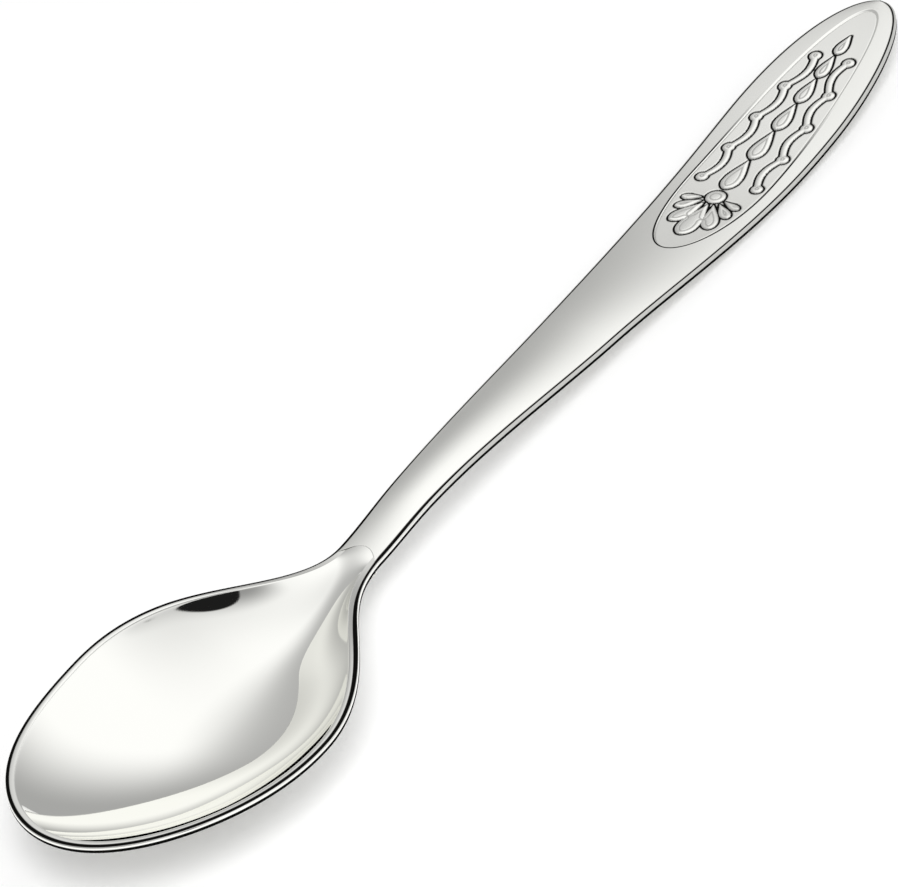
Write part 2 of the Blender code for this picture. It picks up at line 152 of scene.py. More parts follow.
GROOVE_WIDTH = 0.36 * MM         # engraved line round each motif of the ornament
GROOVE_DEPTH = 0.10 * MM
GROOVE_DARK = 2.0                # how soon that line is fully dark, in shares of its depth
INNER_LINE = 0.55 * MM           # fainter line inside the larger motifs, from their edge
INNER_DEPTH = 0.3                # its depth, as a share of the groove's
INNER_DARK = 0.6                 # its tarnish
RASTER = 0.04 * MM               # cell of the raster that distances to the motifs are read from

# Mesh density
BOWL_ROWS = 280
HOLLOW_COLUMNS = 108
RIM_COLUMNS = 17
BAND_COLUMNS = 9
ROUND_STEPS = 8
CROWDING = 1.4                   # how much the hollow's columns crowd towards the rim, up to pi / 2
HEEL_ROWS = 60
NECK_ROWS = 200
NECK_CROWDING = 1.5              # how much the neck's rows crowd towards the seam, from 1
GRIP_ROWS = 240
TIP_ROWS = 30
SIDE_COLUMNS = 26
LIP_COLUMNS = 14
UNDER_COLUMNS = 60
PANEL_ROWS = 620
PANEL_COLUMNS = 129
FINE = 4000                      # points of the outline that insets are read from
TINY = 1e-7                      # lengths below this count as nothing
SHARP = np.radians(40.0)         # edges sharper than this stay crisp in shading

# Stations and heights that follow from the sizes above
LENGTH = BOWL_LENGTH + HANDLE_LENGTH
GRIP_WIDEST = LENGTH - GRIP_END
REST = LENGTH - REST_FROM_TIP
NECK_END = BOWL_LENGTH + NECK_LENGTH
MIDDLE = (BOWL_LENGTH + GRIP_WIDEST) / 2
RIM_HEIGHT = BOWL_DEPTH + BOWL_FLOOR - WEAR
OUTER_DEPTH = RIM_HEIGHT - EDGE + WEAR
REST_HEIGHT = EDGE + GRIP_BELLY - WEAR
PANEL_HEAD = LENGTH - PANEL_FROM_TIP
PANEL_FOOT = PANEL_HEAD - PANEL_LENGTH
HUB = PANEL_FOOT + HUB_FROM_FOOT
TONGUE_CORNER = BOWL_LENGTH - TONGUE_SETBACK
HEEL_END = TONGUE_CORNER - HEEL_LENGTH
HEEL_HALF = NECK_WIDTH / 2 - HEEL_INSET

# Camera, fitted to the photograph's outline (898 by 887 pixels)
PHOTO_WIDTH = 898
PHOTO_HEIGHT = 887
CAMERA_DISTANCE = 0.9
CAMERA_NEAR = 0.01               # nearest distance that the camera shows
CAMERA_AZIMUTH = np.radians(-48.69)
CAMERA_ELEVATION = np.radians(36.91)
CAMERA_ROLL = np.radians(12.85)
PIXELS_PER_METRE = 8353.2
ORIGIN_PIXEL = (504.5, 441.6)    # where the middle of the spoon's length falls, on the table
SENSOR = 36.0                    # width of the camera's sensor, in its own millimetres

# Metal finish
PATINA_AND_SHADE_COLOUR = "#0e0e0d"              # dull dark layer: patina in the engraved lines and seams, painted shade in the lines along the edges
PATINA_AND_SHADE_ROUGHNESS = 0.6
HAIRLINE = 0.08 * MM             # spacing of the polishing hairlines, coarser than real so that they show
HAIRLINE_DRAW = 0.02             # how much they are drawn out along the spoon
HAIRLINE_DEPTH = 0.01 * MM
HAIRLINE_DETAIL = 3.0            # finer octaves in the hairlines
MOTTLE_DETAIL = 2.0              # finer octaves in the mottle
MOTTLE_LOW, MOTTLE_HIGH = 0.3, 0.7   # range of the noise that the mottle is read from
MOTTLE_SHARE = 0.15              # how much the roughness varies to each side

# Studio
FLOOR = 6.0                      # side of the table top
FLOOR_COLOUR = "#e6e6e6"
FLOOR_GLOW = 0.17                # lifts the floor to white for the camera and in reflections only
TENT_WHITE = 1.04
TENT_PLACES = (                  # azimuth and elevation from the camera, inner and outer angle, light
    (190.0, -50.0, 64.0, 102.0, 0.40),   # grey, low on the far side
    (-48.0, 17.0, 5.0, 100.0, 0.42),     # grey on the camera's left
    (235.0, 22.0, 3.0, 62.0, 0.47),      # grey on the far left
    (183.5, -10.0, 9.0, 20.0, 1.2),      # bright at the foot of the far side
    (85.0, -25.0, 20.0, 50.0, 0.42),     # grey, low on the camera's right
)
TENT_SLOTS = (                   # azimuth, elevation, half angles across and along, lean, soft share, light
    (30.0, 13.4, 8.5, 22.5, -20.0, 0.75, 0.30),     # soft surround of the slot
    (25.9, 13.4, 3.6, 21.8, -19.7, 0.05, 0.012),    # the dark slot itself
)
KEY_FROM = (-4.0, 57.0)          # azimuth and elevation of the lamp, from the camera
KEY_DISTANCE = 1.2
KEY_SIZE = 0.6
KEY_POWER = 7.2


def through(stations, values, s):
    """Cubic curve through the stations, level at both ends, with each slope taken from its neighbours."""
    stations = np.array(stations)
    values = np.array(values)
    slopes = np.gradient(values, stations)
    slopes[0] = 0.0
    slopes[-1] = 0.0
    s = np.clip(s, stations[0], stations[-1])
    k = np.clip(np.searchsorted(stations, s, side="right") - 1, 0, len(stations) - 2)
    span = stations[k + 1] - stations[k]
    u = (s - stations[k]) / span
    rise = 3 * u**2 - 2 * u**3
    leave = (u**3 - 2 * u**2 + u) * span * slopes[k]
    arrive = (u**3 - u**2) * span * slopes[k + 1]
    return values[k] * (1 - rise) + values[k + 1] * rise + leave + arrive


def half_width(s):
    """Outline: half an ellipse at the tip, a swept shoulder, a taper and half an ellipse at the end."""
    tip = BOWL_WIDTH / 2 * np.sqrt(np.clip(1 - (1 - s / BOWL_WIDEST) ** 2, 0, 1))
    way = np.clip((s - BOWL_WIDEST) / (BOWL_LENGTH - BOWL_WIDEST), 0, 1) ** SHOULDER_FULLNESS
    shoulder = NECK_WIDTH / 2 + (BOWL_WIDTH - NECK_WIDTH) / 4 * (1 + np.cos(np.pi * way))
    taper = through((BOWL_LENGTH, MIDDLE, GRIP_WIDEST), (NECK_WIDTH / 2, MIDDLE_WIDTH / 2, GRIP_WIDTH / 2), s)
    end = GRIP_WIDTH / 2 * np.sqrt(np.clip(1 - ((s - GRIP_WIDEST) / GRIP_END) ** 2, 0, 1))
    choices = [s < BOWL_WIDEST, s < BOWL_LENGTH, s < GRIP_WIDEST]
    return np.select(choices, [tip, shoulder, taper], end)


def edge_height(s):
    """Height of the top edge: a rim that lifts at the tip, a low neck, and a grip with a lifted end."""
    high = BOWL_WIDEST + SHOULDER_LENGTH
    stations = (0.0, BOWL_WIDEST, high, TONGUE_CORNER, NECK_END, MIDDLE, REST, LENGTH)
    heights = (RIM_HEIGHT + TIP_RISE, RIM_HEIGHT, RIM_HEIGHT + SHOULDER_RISE, DIP_HEIGHT, NECK_HEIGHT,
               MIDDLE_HEIGHT, REST_HEIGHT, REST_HEIGHT + END_RISE)
    return through(stations, heights, s)


def round_spacing(first, last, count):
    """Stations that crowd towards both ends, as steps of a half circle do."""
    return first + (last - first) * (1 - np.cos(np.linspace(0, np.pi, count))) / 2


def inset(s, width, distance):
    """Move an outline's points inwards along its normals, and its tips along the middle line."""
    along = np.gradient(s)
    out = np.gradient(width)
    along = np.where(width <= 0, 0.0, along)
    size = np.hypot(along, out)
    return s + distance * out / size, np.maximum(width - distance * along / size, 0.0)


FINE_S = round_spacing(0.0, LENGTH, FINE)
FINE_W = half_width(FINE_S)


def inset_half_width(s, distance):
    """Half-width of the inset outline, read from the dense outline by its square, to stay round."""
    stations, widths = inset(FINE_S, FINE_W, distance)
    return np.sqrt(np.interp(s, stations, widths**2, left=0.0, right=0.0))


def crown(s):
    """Swell of the handle's top: none in the bowl, most behind the neck, little on the grip."""
    stations = (BOWL_LENGTH - NECK_LENGTH, NECK_END, MIDDLE, PANEL_FOOT, LENGTH)
    return through(stations, (0.0, CROWN_ABOVE, CROWN_ABOVE, GRIP_CROWN, TIP_CROWN), s)


def over(y, half):
    """1 on the middle line and 0 at the half-width, as a parabola."""
    return np.clip(1 - (y / np.maximum(half, TINY)) ** 2, 0, 1)


def floor_share(s, half, widest):
    """Depth of the bowl's middle line: by the outline's square at the tip, by a wave of its own behind it."""
    way = np.clip((s - BOWL_WIDEST) / (BOWL_LENGTH - BOWL_WIDEST), 0, 1) ** FLOOR_FULLNESS
    return np.where(s < BOWL_WIDEST, (half / widest) ** 2, (1 + np.cos(np.pi * way)) / 2)


def dish(s, y, half, widest, ease):
    """Share of the bowl's depth: 0 outside the outline, 1 at the deepest place, as a cap of an ellipsoid.

    The corner at the outline is eased: x becomes (x + sqrt(x^2 + ease^2)) / 2.
    """
    inside = 1 - (y / np.maximum(half, TINY)) ** 2
    inside = (inside + np.sqrt(inside**2 + ease**2)) / 2
    inside = np.minimum(inside * floor_share(s, half, widest), 1.0)
    level = np.sqrt(1 - BOWL_ROUNDNESS)
    return (np.sqrt(1 - BOWL_ROUNDNESS * (1 - inside)) - level) / (1 - level)


def hollow_height(s, y):
    """Rim band and inside of the bowl, which rises behind the bowl into the crown of the neck."""
    half = inset_half_width(s, RIM_WIDTH)
    depth = BOWL_DEPTH * dish(s, y, half, BOWL_WIDTH / 2 - RIM_WIDTH, RIM_EASE)
    return edge_height(s) + crown(s) * over(y, half) - depth


def back_height(s, y):
    """Back of the bowl: the same rule on the outer outline, worn flat where it rests on the table."""
    half = inset_half_width(s, EDGE_ROUND)
    depth = OUTER_DEPTH * dish(s, y, half, BOWL_WIDTH / 2 - EDGE_ROUND, 0.0)
    return np.maximum(edge_height(s) - EDGE - depth, 0.0)


def belly(s):
    """Swell of the handle's underside, which carries the heel's underside on behind the shoulder."""
    lap = OUTER_DEPTH * dish(TONGUE_CORNER, 0.0, NECK_WIDTH / 2, BOWL_WIDTH / 2, 0.0) + SEAM + HEEL_LIP
    stations = (TONGUE_CORNER, MIDDLE, REST, LENGTH)
    return through(stations, (lap + HEEL_HEIGHT, GRIP_BELLY, GRIP_BELLY, TIP_BELLY), s)


def top_height(s, y):
    """Top of the handle."""
    return edge_height(s) + crown(s) * over(y, inset_half_width(s, EDGE_ROUND))


def under_height(s, y):
    """Underside of the handle, worn flat where it rests on the table."""
    low = edge_height(s) - EDGE - belly(s) * over(y, inset_half_width(s, EDGE_ROUND))
    return np.maximum(low, 0.0)


def field_height(s):
    """Level of the panel's field, straight across the grip."""
    return edge_height(s) + crown(s) - FIELD_SINK


def panel_half_width(s, clearance):
    """Plan of the panel, grown by a clearance: half an ellipse to each side of its widest place."""
    widest = PANEL_FOOT + PANEL_WIDEST
    reach = np.where(s < widest, PANEL_WIDEST, PANEL_LENGTH - PANEL_WIDEST) + clearance
    return (PANEL_WIDTH / 2 + clearance) * np.sqrt(np.clip(1 - ((s - widest) / reach) ** 2, 0, 1))


def smooth_step(x):
    """0 below 0, 1 above 1, and an even S between them."""
    x = np.clip(x, 0, 1)
    return x * x * (3 - 2 * x)


def edge_profile():
    """Rounded edge from the top to the underside, as rows of inset, fall below the top edge, and turn.

    A quarter circle, the straight side with the start of the lower line on it, and another quarter circle.
    """
    turn = np.linspace(0, np.pi / 2, ROUND_STEPS + 1)
    upper = (EDGE_ROUND * (1 - np.sin(turn)), EDGE_ROUND * (1 - np.cos(turn)), turn)
    falls = EDGE_UNDER + np.array([0.0, 0.5, 1.0]) * EDGE_UNDER_FADE
    side = (np.zeros(3), falls, np.full(3, np.pi / 2))
    lower = (EDGE_ROUND * (1 - np.cos(turn)), EDGE - EDGE_ROUND * (1 - np.sin(turn)), turn + np.pi / 2)
    return np.concatenate([upper, side, lower], axis=1).T


def handle_share(s):
    """How far the painted edge lines have gone over from the bowl's to the handle's: none on the bowl, full a
    little way behind it.
    """
    return smooth_step((s - BOWL_LENGTH) / EDGE_LINE_TAPER)


def edge_line(s, distance):
    """Painted dark reflection in the fine line along the top's edge: full at the rounding, gone a little way
    inside.
    """
    shoulder = (BOWL_WIDEST + BOWL_LENGTH) / 2
    stations = (BOWL_WIDEST, shoulder, BOWL_LENGTH, BOWL_LENGTH + EDGE_LINE_TAPER)
    width = through(stations, (EDGE_LINE, EDGE_LINE_WIDEST, EDGE_LINE_NECK, EDGE_LINE_HANDLE), s)
    return 1 - smooth_step((distance - EDGE_ROUND - width) / EDGE_FADE)


def turned_line(s, turn, fall):
    """Painted dark reflection round the edge: the line along the top runs out, and another one starts below
    the side.

    Between them the side is clean on the bowl and gets some painted shade along the handle.
    """
    end = EDGE_TURN + (EDGE_TURN_HANDLE - EDGE_TURN) * handle_share(s)
    past = smooth_step((turn - end) / EDGE_TURN_FADE)
    below = smooth_step((fall - EDGE_UNDER) / EDGE_UNDER_FADE)
    return np.maximum(1 - past * (1 - EDGE_SIDE_SHADE * handle_share(s)), below)


def rim_line(s, distance):
    """Painted shade in the line in the corner between rim band and hollow, most at the shoulder and none at
    tip and neck.
    """
    stations = (0.0, BOWL_WIDEST, BOWL_WIDEST + SHOULDER_LENGTH, TONGUE_CORNER)
    share = through(stations, (0.0, RIM_LINE_MIDDLE, RIM_LINE_DARK, 0.0), s)
    return share * (1 - smooth_step(np.abs(distance - RIM_WIDTH) / RIM_LINE))


def strip(s, y, z, patina_and_painted_shade=0.0):
    """One run of columns of every ring: stations, places across, heights and the dark layer (patina and
    painted shade), as equal arrays.
    """
    return np.stack(np.broadcast_arrays(s, y, z, patina_and_painted_shade), axis=-1)


def mirrored(right):
    """The same run of columns on the other side of the middle line, in the order the ring goes round."""
    return right[:, ::-1] * np.array([1, -1, 1, 1])


def side_columns(s, half):
    """The edge profile carried along the outline: each point of it is an inset outline below the top edge."""
    columns = []
    for distance, fall, turn in edge_profile():
        row_s, row_half = inset(s, half, distance)
        height = (edge_height(row_s) - fall)[:, None]
        # painted dark reflection round the edge, and painted shade on the handle's side
        patina_and_painted_shade = turned_line(row_s, turn, fall)[:, None]
        columns.append(strip(row_s[:, None], row_half[:, None], height, patina_and_painted_shade))
    return np.concatenate(columns, axis=1)


def closed_mesh(name, rings, end_faces=()):
    """Object from rings of (s, y, z, patina and painted shade): quads between neighbours, poles merged, faces
    outwards.

    Quads that lie flat on the middle line, where the two halves of a ring meet, are left out.
    """
    rows, count = rings.shape[:2]
    index = np.arange(rows * count).reshape(rows, count)
    near = index[:-1]
    far = index[1:]
    quads = np.stack([near, np.roll(near, -1, 1), np.roll(far, -1, 1), far], axis=-1).reshape(-1, 4)
    points = rings.reshape(-1, 4) - np.array([LENGTH / 2, 0, 0, 0])
    quads = quads[np.abs(points[quads, 1]).max(axis=1) > TINY]
    mesh = bpy.data.meshes.new(name)
    mesh.from_pydata(points[:, :3].tolist(), [], quads.tolist() + list(end_faces))
    patina_and_painted_shade = mesh.attributes.new("patina_and_painted_shade", "FLOAT", "POINT")
    patina_and_painted_shade.data.foreach_set("value", points[:, 3].astype(np.float32))
    work = bmesh.new()
    work.from_mesh(mesh)
    bmesh.ops.remove_doubles(work, verts=work.verts, dist=TINY)
    bmesh.ops.dissolve_degenerate(work, edges=work.edges, dist=TINY)
    bmesh.ops.recalc_face_normals(work, faces=work.faces)
    work.to_mesh(mesh)
    work.free()
    mesh.shade_smooth()
    mesh.set_sharp_from_angle(angle=SHARP)
    piece = bpy.data.objects.new(name, mesh)
    bpy.context.scene.collection.objects.link(piece)
    return piece


def tongue_sweep(s, y, half, share):
    """Push a row's middle towards the handle, as a parabola between its sides, by a share of the tongue's."""
    return s + TONGUE_ROUND * share * (1 - (y / np.maximum(half, TINY)) ** 2)


def lap_share(s):
    """How much of the tongue's sweep a row has: none at the heel's end, all at the tongue's corners."""
    return np.clip((s - HEEL_END) / HEEL_LENGTH, 0, 1)


def rim_swell(s, distance):
    """Crown of the rim band: a parabola between its edges, which runs out along the lap."""
    way = (2 * distance - EDGE_ROUND - RIM_WIDTH) / (RIM_WIDTH - EDGE_ROUND)
    return RIM_SWELL * np.maximum(1 - way**2, 0) * (1 - lap_share(s))


def make_bowl():
    """Polished shell: hollow, rim band, rounded edge and back, as rings from the tip to the tongue's end.

    The top and the back have the same places across, so that a strip of faces closes the tongue's end.
    """
    s = round_spacing(0.0, TONGUE_CORNER - SOLDER_LINE, BOWL_ROWS)
    half = half_width(s)

    def span(distance, v):
        """Rows across the bowl inside the inset outline, swept into the tongue."""
        row_s, row_half = inset(s, half, distance)
        row_s = np.minimum(row_s, s[-1])
        row_s[-1] = s[-1]
        y = row_half[:, None] * v
        return tongue_sweep(row_s[:, None], y, half[:, None], lap_share(row_s)[:, None]), y

    inner = RIM_WIDTH + RIM_ZONE
    band = EDGE_ROUND + EDGE_BAND
    closer = np.linspace(band, EDGE_ROUND, BAND_COLUMNS)[1:]
    distances = np.concatenate([np.linspace(inner, band, RIM_COLUMNS), closer])
    spans = [span(inner, np.sin(np.linspace(-1, 1, HOLLOW_COLUMNS) * CROWDING) / np.sin(CROWDING))]
    spans += [span(distance, np.ones(1)) for distance in distances[1:]]

    tops = []
    for (a, b), distance in zip(spans, distances):
        # painted dark reflection along the edge and painted shade in the rim's corner
        dark = np.maximum(edge_line(a, distance), rim_line(a, distance))
        tops.append(strip(a, b, hollow_height(a, b) + rim_swell(a, distance), dark))
    backs = [strip(a, b, back_height(a, b)) for a, b in spans]
    rim = np.concatenate(tops[1:], axis=1)
    under_rim = np.concatenate(backs[1:], axis=1)
    side = side_columns(s, half)
    top = np.concatenate([mirrored(rim), tops[0], rim], axis=1)
    back = np.concatenate([mirrored(under_rim), backs[0], under_rim], axis=1)[:, ::-1]
    rings = np.concatenate([top, side, back, mirrored(side)], axis=1)

    first = (len(s) - 1) * rings.shape[1]
    wide = top.shape[1]
    upper = first + np.arange(wide)
    lower = first + wide + side.shape[1] + np.arange(wide)[::-1]
    end = np.stack([upper[:-1], lower[:-1], lower[1:], upper[1:]], axis=-1).tolist()
    end.append(np.arange(upper[-1], lower[-1] + 1)[::-1].tolist())
    end.append([upper[0], *range(first + rings.shape[1] - 1, lower[0] - 1, -1)])
    return closed_mesh("bowl_polished", rings, end)


def lip_width(s):
    """Slope from the grip's top into the panel: narrow round its foot, wide and soft at its head."""
    way = smooth_step((s - PANEL_FOOT - PANEL_WIDEST) / (PANEL_LENGTH - PANEL_WIDEST))
    return LIP_AT_FOOT + (LIP_AT_HEAD - LIP_AT_FOOT) * way


def make_heel():
    """Rings of the heel under the bowl: its top follows the bowl's back, its underside is a lens.

    Its lip makes up for the closer seam, so that its underside meets the handle's.
    """
    lip = HEEL_LIP + SEAM - SOLDER_LINE
    s = HEEL_END + HEEL_LENGTH * (1 - np.cos(np.linspace(0, np.pi / 2, HEEL_ROWS)))
    half = HEEL_HALF * np.sqrt(np.clip(1 - ((TONGUE_CORNER - s) / HEEL_LENGTH) ** 2, 0, 1))
    v = np.linspace(1, 0, SIDE_COLUMNS)
    v = np.concatenate([np.ones(BAND_COLUMNS - 1), v, np.zeros(LIP_COLUMNS + 1)])

    def lap(s, y):
        """The bowl's back, less the seam."""
        return back_height(s, y) - SOLDER_LINE

    neck_half = half_width(TONGUE_CORNER)
    share = lap_share(s)[:, None]
    grid_y = half[:, None] * v
    grid_s = tongue_sweep(s[:, None], grid_y, neck_half, share)
    right = strip(grid_s, grid_y, lap(grid_s, grid_y))[:, ::-1]
    side = []
    for distance, fall, turn in edge_profile() * (lip / EDGE, lip / EDGE, 1.0):
        row_s, row_half = inset(s, half, distance)
        side.append(strip(row_s[:, None], row_half[:, None], (lap(row_s, row_half) - fall)[:, None]))
    side = np.concatenate(side, axis=1)
    v = np.linspace(1, -1, UNDER_COLUMNS)
    grid_y = half[:, None] * v
    grid_s = tongue_sweep(s[:, None], grid_y, neck_half, share)
    lens = HEEL_HEIGHT * (half / HEEL_HALF)[:, None] * (1 - v**2)
    under = strip(grid_s, grid_y, lap(grid_s, grid_y) - lip - lens)
    return np.concatenate([mirrored(right), right, side, under, mirrored(side)], axis=1)


def make_handle():
    """Satin handle: rings from the heel over the shoulder and the grip, with the panel's bed, to the tip.

    Each half of a ring's top runs from the edge to the lip round the panel, down the lip, and over the bed.
    Where there is no panel, the lip and the bed shrink to the middle line.
    """
    plan_s = round_spacing(PANEL_FOOT - SOLDER_LINE, PANEL_HEAD + SOLDER_LINE, GRIP_ROWS)
    plan_y = panel_half_width(plan_s, SOLDER_LINE)
    lip = lip_width(plan_s)
    lip_s, lip_y = inset(plan_s, plan_y, -lip)
    steps = np.linspace(0, 1, NECK_ROWS, endpoint=False) ** NECK_CROWDING
    before = TONGUE_CORNER + (lip_s[0] - TONGUE_CORNER) * steps
    after = lip_s[-1] + (LENGTH - lip_s[-1]) * np.sin(np.linspace(0, np.pi / 2, TIP_ROWS + 1))[1:]
    s = np.concatenate([before, lip_s, after])
    half = half_width(s)
    side = side_columns(s, half)
    rows = len(s)
    on_panel = slice(len(before), len(before) + GRIP_ROWS)

    def outline(distance):
        """The inset outline, whose first row stays at the shoulder."""
        row_s, row_half = inset(s, half, distance)
        row_s[0] = s[0]
        return row_s[:, None], row_half[:, None]

    tip_share = (LENGTH - EDGE_ROUND - EDGE_BAND - lip_s[-1]) / (LENGTH - lip_s[-1])
    middle_s = np.where(s > lip_s[-1], lip_s[-1] + (s - lip_s[-1]) * tip_share, s)
    fade = np.clip(1 - (s - TONGUE_CORNER) / HEEL_LENGTH, 0, 1)
    outer_s = middle_s.copy()
    outer_y = np.zeros(rows)
    outer_y[on_panel] = lip_y
    distances = EDGE_ROUND + np.linspace(0, EDGE_BAND, BAND_COLUMNS)
    band_s, band_y = zip(*[outline(distance) for distance in distances])
    a = np.linspace(0, 1, SIDE_COLUMNS)[1:]
    grid_s = np.concatenate([*band_s, band_s[-1] * (1 - a) + outer_s[:, None] * a], axis=1)
    grid_y = np.concatenate([*band_y, band_y[-1] * (1 - a) + outer_y[:, None] * a], axis=1)
    grid_s = tongue_sweep(grid_s, grid_y, half[:, None], fade[:, None])
    ease = SEAM_EASE * (1 - np.clip((s - s[0]) / SEAM_RUN, 0, 1)) ** 2
    # painted dark reflection along the edge, then the dark line of the seam
    dark = np.concatenate([edge_line(s[:, None], distances), np.zeros((rows, len(a)))], axis=1)
    dark = np.maximum(dark, SEAM_DARK * np.clip(1 - (s - s[0]) / SEAM_RUN, 0, 1)[:, None])
    top = strip(grid_s, grid_y, top_height(grid_s, grid_y) - ease[:, None], dark)

    middle = grid_s[:, -1:]
    level = top[:, -1:, 2]
    lips = np.repeat(strip(middle, 0.0, level, 0.0), LIP_COLUMNS + 1, axis=1)
    fall = top_height(plan_s, plan_y) - field_height(plan_s)
    dark = 1 - smooth_step((plan_s - PANEL_FOOT - FOOT_LINE) / FOOT_FADE)
    for k, share in enumerate(np.linspace(1, 0, LIP_COLUMNS + 1)[1:]):
        step_s, step_y = inset(plan_s, plan_y, -lip * share)
        step_z = top_height(step_s, step_y) - fall * (1 - smooth_step(share / (1 - LIP_LEVEL)))
        line = smooth_step((1 - share) / LIP_FADE) * smooth_step((share - LIP_FADE) / LIP_FADE)
        lips[on_panel, k] = strip(step_s, step_y, step_z, dark * line)
    bed = field_height(plan_s) - PANEL_PLATE - SEAM
    lips[on_panel, LIP_COLUMNS] = strip(plan_s, plan_y, bed, 1.0)

    right = np.concatenate([top, lips], axis=1)[:, ::-1]
    edge_s, edge_half = outline(EDGE_ROUND)
    under_y = edge_half * np.linspace(1, -1, UNDER_COLUMNS)
    under_s = tongue_sweep(edge_s, under_y, half[:, None], fade[:, None])
    under = strip(under_s, under_y, under_height(under_s, under_y))
    full = np.concatenate([mirrored(right), right, side, under, mirrored(side)], axis=1)
    return closed_mesh("handle_satin", np.concatenate([make_heel(), full]))


def bump(distance, reach):
    """Rounded swell that is 1 in the middle and 0 at its reach."""
    return np.sqrt(np.clip(1 - (distance / reach) ** 2, 0, 1))


def drop(along, across, length):
    """Drop from its round end on: its half-width follows a sine along its length."""
    way = np.clip(along / length, 0, 1) ** DROP_FULLNESS
    half = DROP_SLENDERNESS * length / 2 * np.sin(np.pi * way)
    return np.where(half > TINY, bump(across, np.maximum(half, TINY)), 0.0)


def drop_fan(s, y):
    """Hub with drops that point at it and fan out towards the panel's foot, as far as an ellipse."""
    ahead = HUB - s
    heights = bump(np.hypot(ahead, y), HUB_RADIUS)
    for k in range(FAN_DROPS):
        turn = FAN_STEP * (k - (FAN_DROPS - 1) / 2)
        reach = 1 / np.hypot(np.cos(turn) / FAN_LENGTH, np.sin(turn) / (FAN_WIDTH / 2))
        along = ahead * np.cos(turn) + y * np.sin(turn)
        across = y * np.cos(turn) - ahead * np.sin(turn)
        heights = np.maximum(heights, drop(reach - along, across, reach - FAN_START))
    return heights


def drop_chain(s, y):
    """Drops on the middle line from the hub to the panel's head, each shorter than the one before it."""
    heights = np.zeros_like(s)
    start = HUB + FIRST_DROP
    for k in range(CHAIN_DROPS):
        length = CHAIN_LENGTH * CHAIN_SHRINK**k
        heights = np.maximum(heights, drop(s - start, y, length))
        start += length + CHAIN_GAP
    return heights


def swag_border(s, y):
    """Beads that follow the panel's sides, with a swag sagging towards the middle between each two."""
    first = HUB + FIRST_BEAD
    way = (s - first) / SWAG_LENGTH
    sag = SWAG_SAG * np.abs(np.sin(np.pi * way))
    line = panel_half_width(s, 0.0) - BORDER - sag
    swag = np.where((way > 0) & (way < SWAGS), SWAG_HEIGHT * bump(np.abs(y) - line, SWAG_WIDTH / 2), 0.0)
    nearest = first + SWAG_LENGTH * np.clip(np.round(way), 0, SWAGS)
    aside = np.abs(y) - (panel_half_width(nearest, 0.0) - BORDER)
    return np.maximum(swag, bump(np.hypot(s - nearest, aside), BEAD_RADIUS))


def ornament(s, y):
    """Height of the ornament, from 0 on the field to 1."""
    return np.max([drop_fan(s, y), drop_chain(s, y), swag_border(s, y)], axis=0)


def distance_from(mask, cell, reach):
    """Distance of each cell of a raster to the nearest cell of a mask, up to a reach.

    The mask is shifted by every offset within the reach, and each cell keeps the shortest that meets it.
    """
    steps = int(np.ceil(reach / cell))
    padded = np.pad(mask, steps)
    rows, columns = mask.shape
    nearest = np.full(mask.shape, reach)
    for i in range(-steps, steps + 1):
        for j in range(-steps, steps + 1):
            shifted = padded[steps + i:steps + i + rows, steps + j:steps + j + columns]
            nearest = np.where(shifted, np.minimum(nearest, cell * np.hypot(i, j)), nearest)
    return nearest


def sample(raster, row, column):
    """Values of a raster between its cells, by straight lines both ways."""
    i = np.clip(row.astype(int), 0, raster.shape[0] - 2)
    j = np.clip(column.astype(int), 0, raster.shape[1] - 2)
    u = row - i
    v = column - j
    low = raster[i, j] * (1 - u) + raster[i + 1, j] * u
    high = raster[i, j + 1] * (1 - u) + raster[i + 1, j + 1] * u
    return low * (1 - v) + high * v


def make_panel():
    """Struck plate: a sunk field with the ornament raised from it, each motif in an engraved line.

    The line is a groove outside the motif, as deep as half a sine across its width. Distances to the motifs
    come from a raster over the panel. A second, fainter line runs inside the larger motifs.
    """
    raster_s = np.arange(PANEL_FOOT, PANEL_HEAD + RASTER, RASTER)
    raster_y = np.arange(-PANEL_WIDTH / 2, PANEL_WIDTH / 2 + RASTER, RASTER)
    motif = ornament(raster_s[:, None] + 0 * raster_y, raster_y + 0 * raster_s[:, None]) > 0
    outside = distance_from(motif, RASTER, GROOVE_WIDTH + RASTER)
    inside = distance_from(~motif, RASTER, INNER_LINE + GROOVE_WIDTH)
    s = round_spacing(PANEL_FOOT, PANEL_HEAD, PANEL_ROWS)
    half = panel_half_width(s, 0.0)
    v = np.linspace(-1, 1, PANEL_COLUMNS)
    grid_s = s[:, None] + 0 * v
    grid_y = half[:, None] * v
    row = (grid_s - PANEL_FOOT) / RASTER
    column = (grid_y + PANEL_WIDTH / 2) / RASTER
    beside = np.clip(sample(outside, row, column) / GROOVE_WIDTH, 0, 1)
    within = np.clip((sample(inside, row, column) - INNER_LINE) / GROOVE_WIDTH + 0.5, 0, 1)
    groove = np.sin(np.pi * beside)
    inner = np.sin(np.pi * within) ** 2
    height = ornament(grid_s, grid_y)
    edge_fall = SEAM_EASE * (1 - np.clip((half[:, None] - np.abs(grid_y)) / SEAM_RUN, 0, 1)) ** 2
    z = field_height(grid_s) + RELIEF * height - GROOVE_DEPTH * (groove + INNER_DEPTH * inner) - edge_fall
    dark = np.maximum(smooth_step(GROOVE_DARK * groove), INNER_DARK * inner)
    back = (field_height(s) - PANEL_PLATE)[:, None]
    rings = np.concatenate([
        strip(grid_s, grid_y, z, dark),
        strip(s[:, None], half[:, None], back),
        strip(s[:, None], -half[:, None], back),
    ], axis=1)
    return closed_mesh("panel_struck", rings)


def linear(hex_colour):
    """sRGB hex colour to linear RGBA."""
    srgb = np.array([int(hex_colour[k:k + 2], 16) for k in (1, 3, 5)]) / 255
    rgb = np.where(srgb <= 0.04045, srgb / 12.92, ((srgb + 0.055) / 1.055) ** 2.4)
    return (*rgb.tolist(), 1.0)


